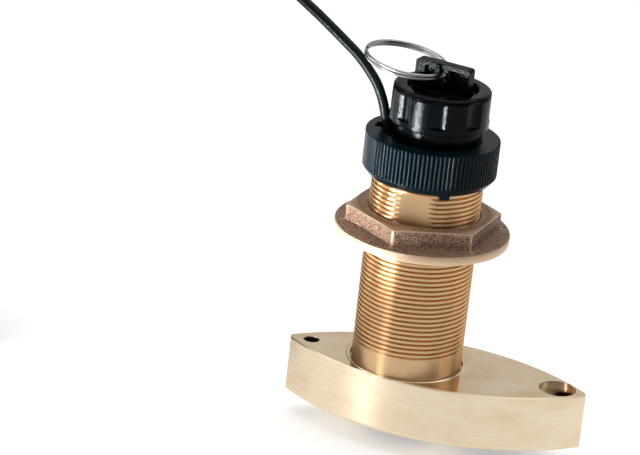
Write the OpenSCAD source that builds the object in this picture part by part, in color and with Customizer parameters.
// Bronze through-hull sonar transducer with a removable paddlewheel insert.
// Millimetres. +Z runs up the threaded stem and +X points to the long end of the foot.
// z = 0 is the seat of the foot against the hull, and the stem axis is x = 0, y = 0.

/* [Foot] */
// Height of the bronze foot below the hull seat
foot_h = 27; // [25:0.5:34]
// Greatest width of the foot
foot_w = 57.4; // [54:0.2:62]
// Radius of each long side in plan
side_r = 104; // [100:1:112]
// Distance from the stem axis to the widest place
foot_shift = 14.3; // [12:0.1:17]
// Nose radius at the short end
short_nose_r = 4.5; // [3.5:0.1:6]
// Nose radius at the long end
long_nose_r = 3; // [2.8:0.1:5]
// Rounding of the lower edge
foot_edge_r = 2.4; // [1:0.1:2.6]
// Break of the upper edge
foot_break = 0.6; // [0.3:0.1:1.2]
// Hole near the short end
short_hole_d = 6.7; // [4:0.1:8]
// Distance from the stem axis to the short end hole
short_hole_x = 45.5; // [40:0.5:47]
// Hole near the long end
long_hole_d = 8.7; // [6:0.1:9]
// Distance from the stem axis to the long end hole
long_hole_x = 75.2; // [73:0.1:75.4]
// Round pocket round the long end hole
pocket_d = 17; // [16.8:0.1:18]
// Distance from the stem axis to the pocket
pocket_x = 71.4; // [71.2:0.1:72]
// Depth of the pocket
pocket_depth = 3; // [1.5:0.1:5]

/* [Stem] */
// Outside of the stem thread
stem_d = 50.8; // [50:0.1:54]
// Height of the stem above the hull seat
stem_h = 104.5; // [95:0.5:140]
// Spacing of the thread's grooves
thread_pitch = 2.2; // [2:0.1:3]
// Depth of the thread's grooves
thread_depth = 1.2; // [0.6:0.1:1.4]
// Plain length at the foot of the stem
plain_h = 9; // [6:0.5:12]
// Bore of the stem
stem_bore_d = 44.4; // [43.6:0.1:45.2]
// Width of the groove round the foot of the stem
groove_w = 1.4; // [0.8:0.1:2.5]
// Depth of that groove
groove_depth = 1.2; // [0.5:0.1:2.5]
// Depth of the two spanner flats below the thread crest
flat_depth = 2; // [1:0.1:2.2]
// Length of the spanner flats
flat_len = 18; // [10:0.5:24]
// Space between the collar and the flats
flat_gap = 2; // [1:0.1:4]

/* [Hull nut] */
// Height of the nut's seat above the hull seat
nut_z = 62; // [10:0.5:68]
// Outside of the nut's flange
nut_flange_d = 80; // [74:0.5:90]
// Thickness of the flange at its rim
nut_rim_h = 4; // [2.5:0.1:6]
// Rise of the flange from the rim to the hexagon
nut_slope_h = 1.4; // [0.5:0.1:2]
// Width of the hexagon across its flats
nut_hex_w = 62; // [58:0.5:66]
// Height of the whole nut
nut_h = 12.3; // [9:0.1:16]
// Turn of the hexagon about the stem
nut_turn = 20.5; // [0:0.5:60]

/* [Collar] */
// Outside of the knurl
collar_d = 61; // [58:0.5:66]
// Height of the collar
collar_h = 19.2; // [14:0.1:24]
// Height of the smooth bevelled lip below the knurl
collar_lip_h = 3.2; // [2:0.1:5]
// Width of the bevel on the lip
collar_bevel = 2.6; // [1:0.1:3]
// Thickness of the collar's roof
collar_roof = 2.7; // [2:0.1:5]
// Hole in the roof
collar_hole_d = 44; // [42.5:0.5:47]
// Ribs in a full turn of the knurl
knurl_count = 96; // [60:4:120]
// Depth of the knurl
knurl_depth = 0.7; // [0.3:0.1:1]
// Half angle of the smooth sector on the cable side
knurl_gap = 47; // [20:1:80]
// Width of the notch for the cable
notch_w = 7; // [6:0.1:9]
// Reach of the notch from the stem axis
notch_r = 26.5; // [24.5:0.1:28]

/* [Insert] */
// How far the insert's axis lies ahead of the stem axis
insert_shift = 1.8; // [1.5:0.1:2.2]
// Outside of the sleeve
sleeve_d = 37.4; // [36.8:0.1:38]
// Bore of the sleeve
sleeve_bore_d = 31.4; // [30:0.1:32]
// Thickness of the sleeve's flange
sleeve_flange_t = 1.7; // [1:0.1:3]
// Thickness of the gasket below that flange
gasket_t = 0.8; // [0.5:0.1:1.5]
// Outside of the sleeve's threaded neck
neck_d = 34.6; // [34:0.1:35]
// Height of the neck above the sleeve's flange
neck_h = 21; // [16:0.5:28]
// Thickness of the insert's flange
insert_flange_t = 2.3; // [1.5:0.1:4]
// Well in the top of the insert
well_d = 27.6; // [26.8:0.1:28.4]
// Depth of the well
well_depth = 9.3; // [5:0.1:14]
// Section of the insert's two sealing rings
seal_d = 2; // [1.6:0.1:2.4]

/* [Cap nut] */
// Outside of the cap nut's lobes
cap_d = 45; // [44:0.2:47]
// Height of the lobed part
cap_lobe_h = 17; // [14:0.5:20]
// Outside of the skirt
cap_skirt_d = 40.2; // [38.4:0.1:40.6]
// Thickness of the lip over the insert
cap_lip_t = 2.5; // [2:0.1:4]
// Opening in the lip
cap_hole_d = 32; // [30:0.2:33]
// Rounding of the top edge
cap_round = 2; // [1:0.1:2.4]
// Number of finger flutes
flute_count = 8; // [6:1:10]
// Radius of each flute
flute_r = 5; // [3.5:0.1:6]
// Depth of each flute
flute_depth = 1.6; // [1:0.1:2]
// Height of the ledge below the flutes
flute_ledge = 3; // [1:0.5:5]

/* [Handle and ring] */
// Width of the pull handle
handle_w = 26.8; // [22:0.2:27]
// Thickness of the handle
handle_t = 5.4; // [4:0.1:6]
// Rise of the handle above the insert's flange
handle_rise = 13.1; // [11:0.1:20]
// Rounding of the handle's top corners
handle_corner_r = 1.4; // [1:0.1:5]
// Hole for the pull ring
handle_hole_d = 5; // [4.4:0.1:6]
// Distance from the handle's top to the hole
handle_hole_drop = 6; // [5.5:0.1:7]
// Turn of the handle about the insert's axis
handle_turn = -14; // [-20:1:20]
// Middle diameter of the pull ring
ring_d = 37; // [30:0.5:38]
// Wire of the pull ring
ring_wire_d = 1.6; // [1:0.1:1.8]
// Upward tilt of the pull ring at rest
ring_tilt = 8; // [4:1:20]

/* [Paddlewheel] */
// Outside of the paddlewheel
wheel_d = 24; // [21:0.5:25]
// Width of the paddlewheel
wheel_w = 8; // [5:0.5:10]
// How far the wheel stands out below the foot
wheel_drop = 9.5; // [6:0.5:9.5]
// Axle
axle_d = 2; // [1.5:0.1:2]
// Number of paddles
paddle_count = 4; // [3:1:6]
// Thickness of a paddle
paddle_t = 1.4; // [1:0.1:2]
// Magnet in each paddle
magnet_d = 2; // [1.5:0.1:2.4]

/* [Sounding element] */
// Ceramic disc
element_d = 32; // [26:0.5:34]
// Thickness of the disc
element_t = 8.5; // [6:0.1:10]
// Distance from the stem axis to the disc
element_x = 45; // [43:0.5:47]
// Thickness of the window under the disc
window_t = 3; // [2:0.1:4]
// Cork round the disc
cork_wall = 1.4; // [1:0.1:1.6]
// Cork above the disc
cork_top = 6; // [3:0.5:8]

/* [Cable] */
// Outside of the cable
cable_d = 4.6; // [4:0.1:5]
// Middle diameter of the coil
coil_d = 53; // [50:1:60]
// Turns side by side in the coil
coil_columns = 4; // [4:2:6]
// Turns one above the other in the coil
coil_layers = 9; // [6:1:9]

/* [Build] */
// Piece to draw

/* [Hidden] */
$fn = 96;

bronze = [0.80, 0.68, 0.50];
cast_bronze = [0.42, 0.30, 0.18];
black = [0.06, 0.06, 0.07];
rubber = [0.10, 0.10, 0.10];
steel = [0.75, 0.76, 0.78];
epoxy = [0.16, 0.15, 0.14];
cork = [0.62, 0.46, 0.30];
white = [0.90, 0.88, 0.83];

// Clearances between pieces
thread_clear = 0.1;
slide_clear = 0.1;
turn_clear = 0.05;
face_clear = 0.15;
cut = 1;

// Plan of the foot
side_y = side_r - foot_w / 2;
foot_bottom = -foot_h;

// Levels up the stem
flange_z = stem_h + gasket_t;
flange_top = flange_z + sleeve_flange_t;
collar_top = flange_top + collar_roof;
collar_z = collar_top - collar_h;
neck_top = flange_top + neck_h;
insert_flange_z = neck_top + face_clear;
insert_top = insert_flange_z + insert_flange_t;
cap_lip_z = insert_top + face_clear;
cap_top = cap_lip_z + cap_lip_t;
cap_lobe_z = cap_top - cap_lobe_h;
cap_z = flange_top + cut;
handle_top = insert_top + handle_rise;
handle_hole_z = handle_top - handle_hole_drop;
flat_top = collar_z - flat_gap;

// Insert, wheel and ring
sleeve_flange_d = stem_d - 0.4;
insert_d = sleeve_bore_d - 2 * slide_clear;
insert_flange_d = neck_d - 2 * thread_clear;
well_z = insert_top - well_depth;
seal_inset = 0.15;
seal_groove_d = sleeve_bore_d - 2 * seal_d - 2 * turn_clear;
upper_seal_drop = 8;
upper_seal_z = well_z - upper_seal_drop;
lower_seal_z = -2;
wheel_z = foot_bottom - wheel_drop + wheel_d / 2;
wheel_room = 0.8;
wheel_side_room = 0.4;
hub_d = 6.4;
paddle_r = 8;
paddle_mid = [wheel_d / 4, -sqrt(pow(paddle_r, 2) - pow(wheel_d / 4, 2))];
magnet_x = 0.75 * wheel_d / 2;
magnet_y = paddle_mid[1] + sqrt(pow(paddle_r, 2) - pow(magnet_x - paddle_mid[0], 2));
ring_stack = 0.9 * ring_wire_d;
ring_reach = handle_hole_d / 2 - ring_wire_d / 2 - face_clear;
ring_sag = pow(handle_t, 2) / (4 * ring_d);
ring_seat = sqrt(pow(ring_reach, 2) - pow(ring_stack / 2, 2)) - ring_sag;

// Sounding element and sensors
cork_d = element_d + 2 * cork_wall;
window_z = foot_bottom;
element_z = window_z + window_t;
cork_top_z = element_z + element_t + cork_top;
lead_hole_d = 4;
sensor_floor = 5;
sensor_size = [4.4, 6, 6];
button_d = 6;
button_h = 7;
button_x = -31;

// Cable route out of the collar, over and down to the coil
floor_z = foot_bottom - wheel_drop;
tie_t = 0.8;
tie_w = 4;
tie_clear = 0.1;
tie_turns = [40, -60];
coil_x = -246;
coil_width = coil_columns * cable_d;
coil_h = coil_layers * cable_d;
coil_z = floor_z + tie_t;
cable_start = [-19.9, 0, stem_h];
cable_route = [
    cable_start,
    [-21.4, 0, 110],
    [-23.4, 0, 116.5],
    [-25.4, 0, 122.5],
    [-29.4, 0, 130],
    [-37.4, 0, 139.2],
    [-44.2, 0, 144.8],
    [-53, 0, 151.5],
    [-62, 0, 158],
    [-76, 0, 167],
    [-100, 0, 178],
    [-132, 0, 183],
    [-170, 0, 177],
    [-206, -3, 158],
    [-235, -9, 128],
    [-256, -16, 92],
    [-270, -22, 56],
    [-275, -25, 30],
    [-278.6, -19, 11.5],
    [-279.4, -4, 3.4]
];
tail_route = [
    [-246, -19.6, 3.4],
    [-253, -19.6, 5],
    [-260, -18, 8],
    [-266, -14, 11.2],
    [-270, -8, 13.4],
    [-271, -4, 13.8],
    [-271, -1, 13.8]
];

// Screw connector on the cable's end, along +Y
plug_gap = 0.2;
plug_boot_l = 11;
plug_boot_r = 5.2;
plug_body_l = 17;
plug_nut_l = 14;
plug_r = 7;
plug_core_r = 5;
plug_core_l = plug_nut_l - 8;
plug_start = tail_route[len(tail_route) - 1] + [0, plug_gap, 0];

// One coordinate of the smooth curve through four points, at t between the middle two
function bend(a, b, c, d, t) =
    0.5 * (2 * b + (c - a) * t + (2 * a - 5 * b + 4 * c - d) * t * t
    + (3 * b - a - 3 * c + d) * t * t * t);
function at(route, i) = route[max(0, min(len(route) - 1, i))];
// Smooth line through a route with some steps between its points
function smooth(route, steps) = concat(
    [for (i = [0 : len(route) - 2], s = [0 : steps - 1])
        bend(at(route, i - 1), at(route, i), at(route, i + 1), at(route, i + 2), s / steps)],
    [route[len(route) - 1]]
);
function unit(v) = v / norm(v);
function heading(line, i) = unit(at(line, i + 1) - at(line, i - 1));

// Round tube along a line, with one ring of corners at each of its points
module tube(line, d, sides = 10) {
    aside = [0.6, -0.6, -0.53];
    rings = [for (i = [0 : len(line) - 1])
        let (ahead = heading(line, i))
        let (across = unit(cross(ahead, aside)))
        let (over = cross(ahead, across))
        for (k = [0 : sides - 1])
            line[i] + d / 2 * (across * cos(360 * k / sides) + over * sin(360 * k / sides))];
    last = (len(line) - 1) * sides;
    walls = [for (i = [0 : len(line) - 2], k = [0 : sides - 1])
        let (next = (k + 1) % sides)
        [(i + 1) * sides + k, (i + 1) * sides + next, i * sides + next, i * sides + k]];
    ends = [
        [for (k = [0 : sides - 1]) k],
        [for (k = [sides - 1 : -1 : 0]) last + k]
    ];
    polyhedron(points = rings, faces = concat(ends, walls));
}

// Disc with a rounded lower edge and a broken upper edge
module edged_disc(r) {
    round_z = foot_bottom + foot_edge_r;
    rotate_extrude() {
        polygon([
            [0, foot_bottom],
            [r - foot_edge_r, foot_bottom],
            [r - foot_edge_r, round_z],
            [r, round_z],
            [r, -foot_break],
            [r - foot_break, 0],
            [0, 0]
        ]);
        translate([r - foot_edge_r, round_z])
            intersection() {
                circle(foot_edge_r);
                translate([0, -foot_edge_r]) square(foot_edge_r);
            }
    }
}

// Distance from the widest place to the middle of a nose, and to where the nose meets the sides
function nose_mid(r) = sqrt(pow(side_r - r, 2) - pow(side_y, 2));
function nose_joint(r) = nose_mid(r) * side_r / (side_r - r);

// Stem with a sharp ring groove at every pitch of its thread
module threaded_stem() {
    r = stem_d / 2;
    half = thread_depth * tan(30);
    count = floor((stem_h - plain_h) / thread_pitch) - 1;
    grooves = [for (k = [0 : count], step = [-1, 0, 1])
        [r - (step == 0 ? thread_depth : 0), plain_h + (k + 0.5) * thread_pitch + step * half]];
    outline = concat([[0, -foot_h / 2], [r, -foot_h / 2]], grooves, [[r, stem_h], [0, stem_h]]);
    rotate_extrude() polygon(outline);
}

// What is cut away in front of a nose, which is a hair wider than the sides are there
module nose_cut(r) {
    hair = 0.08;
    difference() {
        translate([nose_joint(r), -foot_w, foot_bottom - cut])
            cube([foot_w, 2 * foot_w, foot_h + 2 * cut]);
        translate([nose_mid(r), 0, foot_bottom - 2 * cut]) cylinder(r = r + hair, h = foot_h + 4 * cut);
    }
}

// Pointed foot: the overlap of two wide discs, with a round nose at each end
module foot_blank() {
    translate([foot_shift, 0, 0])
        difference() {
            intersection() {
                translate([0, side_y, 0]) edged_disc(side_r);
                translate([0, -side_y, 0]) edged_disc(side_r);
            }
            nose_cut(long_nose_r);
            mirror([1, 0, 0]) nose_cut(short_nose_r);
        }
}

module bolt_hole(x, d) {
    translate([x, 0, foot_bottom - cut]) cylinder(d = d, h = foot_h + 2 * cut);
}

// Small bevel round the top of a hole
module bevel(x, d) {
    rim = 0.5;
    translate([x, 0, -rim]) cylinder(d1 = d, d2 = d + 4 * rim, h = 2 * rim);
}

module spanner_flat() {
    translate([-stem_d / 2, stem_d / 2 - flat_depth, flat_top - flat_len])
        cube([stem_d, stem_d, flat_len]);
}

module housing() {
    color(bronze)
    difference() {
        union() {
            foot_blank();
            threaded_stem();
        }
        translate([0, 0, -groove_depth])
            difference() {
                cylinder(d = stem_d + 2 * groove_w, h = groove_depth + cut);
                translate([0, 0, -cut]) cylinder(d = stem_d, h = groove_depth + 3 * cut);
            }
        translate([0, 0, foot_bottom + sensor_floor]) cylinder(d = stem_bore_d, h = foot_h + stem_h);
        translate([insert_shift, 0, foot_bottom - cut]) cylinder(d = sleeve_d, h = foot_h);
        translate([element_x, 0, foot_bottom - cut])
            cylinder(d = cork_d, h = cork_top_z - foot_bottom + cut);
        translate([0, 0, cork_top_z - lead_hole_d / 2])
            rotate([0, 90, 0]) cylinder(d = lead_hole_d, h = element_x);
        translate([button_x, 0, foot_bottom - cut]) cylinder(d = button_d, h = button_h + cut);
        translate([button_x, 0, foot_bottom + button_h])
            rotate([0, 90, 0]) cylinder(d = lead_hole_d / 2, h = -button_x);
        bolt_hole(-short_hole_x, short_hole_d);
        bevel(-short_hole_x, short_hole_d);
        bolt_hole(long_hole_x, long_hole_d);
        translate([pocket_x, 0, -pocket_depth]) cylinder(d = pocket_d, h = pocket_depth + cut);
        for (side = [0, 1]) mirror([0, side, 0]) spanner_flat();
    }
}

module hull_nut() {
    hex_d = nut_hex_w / cos(30);
    rim_break = 0.5;
    slope_top = nut_rim_h + nut_slope_h;
    corner_drop = 1.6;
    corner_inset = 0.5;
    color(cast_bronze)
    translate([0, 0, nut_z])
    difference() {
        union() {
            rotate_extrude()
                polygon([
                    [0, 0],
                    [nut_flange_d / 2 - rim_break, 0],
                    [nut_flange_d / 2, rim_break],
                    [nut_flange_d / 2, nut_rim_h - rim_break],
                    [nut_flange_d / 2 - rim_break, nut_rim_h],
                    [nut_hex_w / 2, slope_top],
                    [0, slope_top]
                ]);
            intersection() {
                rotate([0, 0, nut_turn]) cylinder(d = hex_d, h = nut_h, $fn = 6);
                rotate_extrude()
                    polygon([
                        [0, 0],
                        [hex_d / 2 + cut, 0],
                        [hex_d / 2 + cut, nut_h - corner_drop],
                        [nut_hex_w / 2 - corner_inset, nut_h],
                        [0, nut_h]
                    ]);
            }
        }
        translate([0, 0, -cut]) cylinder(d = stem_d + 2 * thread_clear, h = nut_h + 2 * cut);
    }
}

module collar() {
    lip_land = 0.4;
    groove_z = collar_lip_h + lip_land;
    bore_d = stem_d + 2 * thread_clear;
    tab_turn = -61;
    tab_w = 5.5;
    tab_t = 1.6;
    tab_drop = 2.4;
    step = 360 / knurl_count;
    groove_w = sqrt(2) * knurl_depth;
    color(black)
    translate([0, 0, collar_z])
    difference() {
        union() {
            rotate_extrude()
                polygon([
                    [0, 0],
                    [collar_d / 2 - collar_bevel, 0],
                    [collar_d / 2, collar_lip_h],
                    [collar_d / 2, collar_h],
                    [0, collar_h]
                ]);
            rotate([0, 0, tab_turn])
                translate([bore_d / 2, -tab_w / 2, -tab_drop])
                cube([tab_t, tab_w, tab_drop + cut]);
        }
        translate([0, 0, -tab_drop - cut])
            cylinder(d = bore_d, h = collar_h - collar_roof + tab_drop + cut);
        cylinder(d = collar_hole_d, h = collar_h + cut);
        translate([-notch_r, -notch_w / 2, collar_h - collar_roof - cut])
            cube([notch_r - collar_hole_d / 4, notch_w, collar_roof + 2 * cut]);
        for (a = [180 + knurl_gap : step : 540 - knurl_gap])
            rotate([0, 0, a])
            translate([collar_d / 2, 0, groove_z])
            rotate([0, 0, 45])
            translate([-groove_w / 2, -groove_w / 2, 0])
            cube([groove_w, groove_w, collar_h]);
    }
}

// Space for the cable past the edge of the sleeve's flange
module cable_gap(z, h) {
    gap_w = cable_d + 1;
    translate([-stem_d, -gap_w / 2, z - cut])
        cube([stem_d - sleeve_d / 2 + insert_shift - face_clear, gap_w, h + 2 * cut]);
}

module sleeve() {
    color(black)
    difference() {
        union() {
            translate([insert_shift, 0, foot_bottom]) cylinder(d = sleeve_d, h = flange_top - foot_bottom);
            difference() {
                translate([0, 0, flange_z]) cylinder(d = sleeve_flange_d, h = sleeve_flange_t);
                cable_gap(flange_z, sleeve_flange_t);
            }
            translate([insert_shift, 0, foot_bottom]) cylinder(d = neck_d, h = neck_top - foot_bottom);
        }
        translate([insert_shift, 0, foot_bottom - cut])
            cylinder(d = sleeve_bore_d, h = neck_top - foot_bottom + 2 * cut);
    }
}

module sleeve_gasket() {
    color(rubber)
    difference() {
        translate([0, 0, stem_h]) cylinder(d = sleeve_flange_d, h = gasket_t);
        translate([0, 0, stem_h - cut]) cylinder(d = stem_bore_d, h = gasket_t + 2 * cut);
        cable_gap(stem_h, gasket_t);
    }
}

// Resin between the stem and the sleeve
module potting() {
    potting_z = foot_bottom + sensor_floor + sensor_size[2];
    color(epoxy)
    difference() {
        translate([0, 0, potting_z]) cylinder(d = stem_bore_d, h = stem_h - potting_z);
        translate([insert_shift, 0, potting_z - cut])
            cylinder(d = sleeve_d, h = stem_h - potting_z + 2 * cut);
    }
}

module handle() {
    plate_h = handle_top - well_z;
    pocket_t = 2;
    boss_d = handle_hole_d + 4;
    bar_h = 2.2;
    leg_w = 4.6;
    pocket_h = 12;
    pocket_z = handle_top - bar_h - pocket_h;
    translate([insert_shift, 0, 0])
    rotate([0, 0, handle_turn])
    difference() {
        union() {
            translate([-handle_w / 2, -handle_t / 2, well_z - cut])
                cube([handle_w, handle_t, plate_h - handle_corner_r + cut]);
            translate([-handle_w / 2 + handle_corner_r, -handle_t / 2, handle_top - handle_corner_r - cut])
                cube([handle_w - 2 * handle_corner_r, handle_t, handle_corner_r + cut]);
            for (side = [-1, 1])
                translate([side * (handle_w / 2 - handle_corner_r), 0, handle_top - handle_corner_r])
                rotate([90, 0, 0])
                cylinder(r = handle_corner_r, h = handle_t, center = true);
        }
        translate([0, 0, handle_hole_z])
            rotate([90, 0, 0])
            cylinder(d = handle_hole_d, h = handle_t + 2 * cut, center = true);
        for (face = [-1, 1])
            difference() {
                translate([-handle_w / 2 + leg_w, face * handle_t / 2 - pocket_t, pocket_z])
                    cube([handle_w - 2 * leg_w, 2 * pocket_t, pocket_h]);
                translate([0, 0, handle_hole_z])
                    rotate([90, 0, 0])
                    cylinder(d = boss_d, h = 2 * handle_t, center = true);
            }
    }
}

module seal_groove(z) {
    groove_h = seal_d + 2 * seal_inset;
    translate([insert_shift, 0, z - groove_h / 2])
        difference() {
            cylinder(d = insert_d + 2 * cut, h = groove_h);
            translate([0, 0, -cut]) cylinder(d = seal_groove_d, h = groove_h + 2 * cut);
        }
}

module insert() {
    slot_w = wheel_w + 2 * wheel_side_room;
    color(black)
    union() {
        difference() {
            union() {
                translate([insert_shift, 0, foot_bottom])
                    cylinder(d = insert_d, h = insert_top - foot_bottom);
                translate([insert_shift, 0, insert_flange_z])
                    cylinder(d = insert_flange_d, h = insert_flange_t);
            }
            translate([insert_shift, 0, well_z]) cylinder(d = well_d, h = well_depth + cut);
            seal_groove(upper_seal_z);
            seal_groove(lower_seal_z);
            translate([insert_shift, 0, wheel_z])
                rotate([90, 0, 0])
                cylinder(d = wheel_d + 2 * wheel_room, h = slot_w, center = true);
            translate([insert_shift, 0, wheel_z])
                rotate([90, 0, 0])
                cylinder(d = axle_d, h = insert_d + 2 * cut, center = true);
        }
        handle();
    }
}

module seal(z) {
    color(rubber)
    translate([insert_shift, 0, z])
    rotate_extrude()
    translate([seal_groove_d / 2 + seal_d / 2, 0])
    circle(d = seal_d, $fn = 32);
}

module upper_seal() {
    seal(upper_seal_z);
}

module lower_seal() {
    seal(lower_seal_z);
}

module cap_nut() {
    cap_h = cap_top - cap_z;
    lobe_z = cap_lobe_z - cap_z;
    lobe_bevel = 1;
    flute_turn = 10;
    color(black)
    translate([insert_shift, 0, cap_z])
    difference() {
        rotate_extrude() {
            polygon([
                [0, 0],
                [cap_skirt_d / 2, 0],
                [cap_skirt_d / 2, lobe_z],
                [cap_d / 2 - lobe_bevel, lobe_z],
                [cap_d / 2, lobe_z + lobe_bevel],
                [cap_d / 2, cap_h - cap_round],
                [cap_d / 2 - cap_round, cap_h - cap_round],
                [cap_d / 2 - cap_round, cap_h],
                [0, cap_h]
            ]);
            translate([cap_d / 2 - cap_round, cap_h - cap_round])
                intersection() {
                    circle(cap_round);
                    square(cap_round);
                }
        }
        translate([0, 0, -cut]) cylinder(d = neck_d + 2 * thread_clear, h = cap_lip_z - cap_z + cut);
        cylinder(d = cap_hole_d, h = cap_h + cut);
        for (k = [0 : flute_count - 1])
            rotate([0, 0, flute_turn + 360 * k / flute_count])
            translate([cap_d / 2 + flute_r - flute_depth, 0, lobe_z + flute_ledge])
            cylinder(r = flute_r, h = cap_h);
    }
}

// Split ring of two touching turns through the hole of the handle
module pull_ring() {
    color(steel)
    translate([insert_shift, 0, handle_hole_z])
    rotate([0, 0, handle_turn])
    rotate([0, ring_tilt, 0])
    translate([-ring_seat - ring_d / 2, 0, 0])
    rotate_extrude()
    for (turn = [-1, 1])
        translate([ring_d / 2, turn * ring_stack / 2])
        circle(d = ring_wire_d, $fn = 32);
}

// Places a flat drawing of the wheel on its axle
module on_axle(w) {
    translate([insert_shift, w / 2, wheel_z])
        rotate([90, 0, 0])
        linear_extrude(w)
        children();
}

module paddle() {
    intersection() {
        translate(paddle_mid)
            difference() {
                circle(paddle_r + paddle_t / 2);
                circle(paddle_r - paddle_t / 2);
            }
        translate([hub_d / 4, -paddle_r / 4]) square([wheel_d, paddle_r]);
        circle(d = wheel_d);
    }
    translate([magnet_x, magnet_y]) circle(d = magnet_d + paddle_t);
}

module paddlewheel() {
    color(black)
    on_axle(wheel_w)
    difference() {
        union() {
            circle(d = hub_d);
            for (k = [0 : paddle_count - 1]) rotate(360 * k / paddle_count) paddle();
        }
        circle(d = axle_d + 2 * turn_clear);
        for (k = [0 : paddle_count - 1])
            rotate(360 * k / paddle_count) translate([magnet_x, magnet_y]) circle(d = magnet_d);
    }
}

module paddle_magnets() {
    inset = 0.5;
    color(steel)
    on_axle(wheel_w - 2 * inset)
    for (k = [0 : paddle_count - 1])
        rotate(360 * k / paddle_count) translate([magnet_x, magnet_y]) circle(d = magnet_d);
}

module paddle_axle() {
    inset = 0.2;
    chord = 2 * sqrt(pow(insert_d / 2, 2) - pow(axle_d / 2, 2));
    color(steel)
    translate([insert_shift, 0, wheel_z])
    rotate([90, 0, 0])
    cylinder(d = axle_d, h = chord - 2 * inset, center = true);
}

module acoustic_window() {
    color(epoxy)
    translate([element_x, 0, window_z]) cylinder(d = cork_d, h = window_t);
}

module ceramic_disc() {
    color(white)
    translate([element_x, 0, element_z]) cylinder(d = element_d, h = element_t);
}

module cork_backing() {
    color(cork)
    translate([element_x, 0, element_z])
    difference() {
        cylinder(d = cork_d, h = cork_top_z - element_z);
        translate([0, 0, -cut]) cylinder(d = element_d, h = element_t + cut);
    }
}

// Magnet sensor on the floor of the bore, on the cable side of the sleeve
module speed_sensor() {
    wall_gap = 0.5;
    color(epoxy)
    translate([-stem_bore_d / 2 + wall_gap, -sensor_size[1] / 2, foot_bottom + sensor_floor])
    cube(sensor_size);
}

module temperature_button() {
    color(bronze)
    translate([button_x, 0, foot_bottom]) cylinder(d = button_d, h = button_h - lead_hole_d / 4);
}

module cable() {
    color(black) tube(smooth(cable_route, 3), cable_d);
}

module cable_coil() {
    color(black)
    translate([coil_x, 0, coil_z])
    rotate_extrude()
    translate([(coil_d - coil_width) / 2, 0])
    square([coil_width, coil_h]);
}

module cable_tail() {
    color(black) tube(smooth(tail_route, 2), cable_d);
}

module coil_ties() {
    color(rubber)
    for (a = tie_turns)
        translate([coil_x, 0, coil_z])
        rotate([0, 0, a])
        translate([coil_d / 2, 0, coil_h / 2])
        difference() {
            cube([coil_width + 2 * tie_t, tie_w, coil_h + 2 * tie_t], center = true);
            cube([coil_width + 2 * tie_clear, tie_w + cut, coil_h], center = true);
        }
}

// Places a piece of the plug along its axis
module on_plug(along) {
    translate(plug_start)
        rotate([-90, 0, 0])
        translate([0, 0, along])
        children();
}

module plug_boot() {
    wall = 0.9;
    color(rubber)
    on_plug(0)
    rotate_extrude()
    polygon([[0, 0], [cable_d / 2 + wall, 0], [plug_boot_r, plug_boot_l], [0, plug_boot_l]]);
}

module plug_body() {
    bevel_w = 1;
    bevel_l = 1.5;
    color(black)
    on_plug(plug_boot_l)
    rotate_extrude()
    polygon([
        [0, 0],
        [plug_r - bevel_w, 0],
        [plug_r, bevel_l],
        [plug_r, plug_body_l],
        [plug_core_r, plug_body_l],
        [plug_core_r, plug_body_l + plug_core_l],
        [0, plug_body_l + plug_core_l]
    ]);
}

module plug_nut() {
    grip_count = 24;
    grip_r = 0.7;
    grip_l = plug_nut_l - 6;
    grip_z = 2;
    wall = 1;
    rise = 0.6;
    color(steel)
    on_plug(plug_boot_l + plug_body_l)
    difference() {
        cylinder(r = plug_r + rise, h = plug_nut_l);
        translate([0, 0, -cut]) cylinder(r = plug_core_r, h = plug_nut_l + 2 * cut);
        translate([0, 0, plug_core_l - wall]) cylinder(r = plug_core_r + wall, h = plug_nut_l);
        for (k = [0 : grip_count - 1])
            rotate([0, 0, 360 * k / grip_count])
            translate([plug_r + wall, 0, grip_z])
            cylinder(r = grip_r, h = grip_l, $fn = 24);
    }
}

module plug_pins() {
    pin_d = 1;
    pin_l = 6;
    pin_ring_r = 2.8;
    color(bronze)
    on_plug(plug_boot_l + plug_body_l + plug_core_l) {
        cylinder(d = pin_d, h = pin_l, $fn = 24);
        for (k = [0 : 3])
            rotate([0, 0, 45 + 90 * k])
            translate([pin_ring_r, 0, 0])
            cylinder(d = pin_d, h = pin_l, $fn = 24);
    }
}

housing();
hull_nut();
collar();
sleeve();
sleeve_gasket();
potting();
insert();
upper_seal();
lower_seal();
cap_nut();
pull_ring();
paddlewheel();
paddle_axle();
paddle_magnets();
ceramic_disc();
cork_backing();
acoustic_window();
speed_sensor();
temperature_button();
cable();
cable_coil();
cable_tail();
coil_ties();
plug_boot();
plug_body();
plug_nut();
plug_pins();
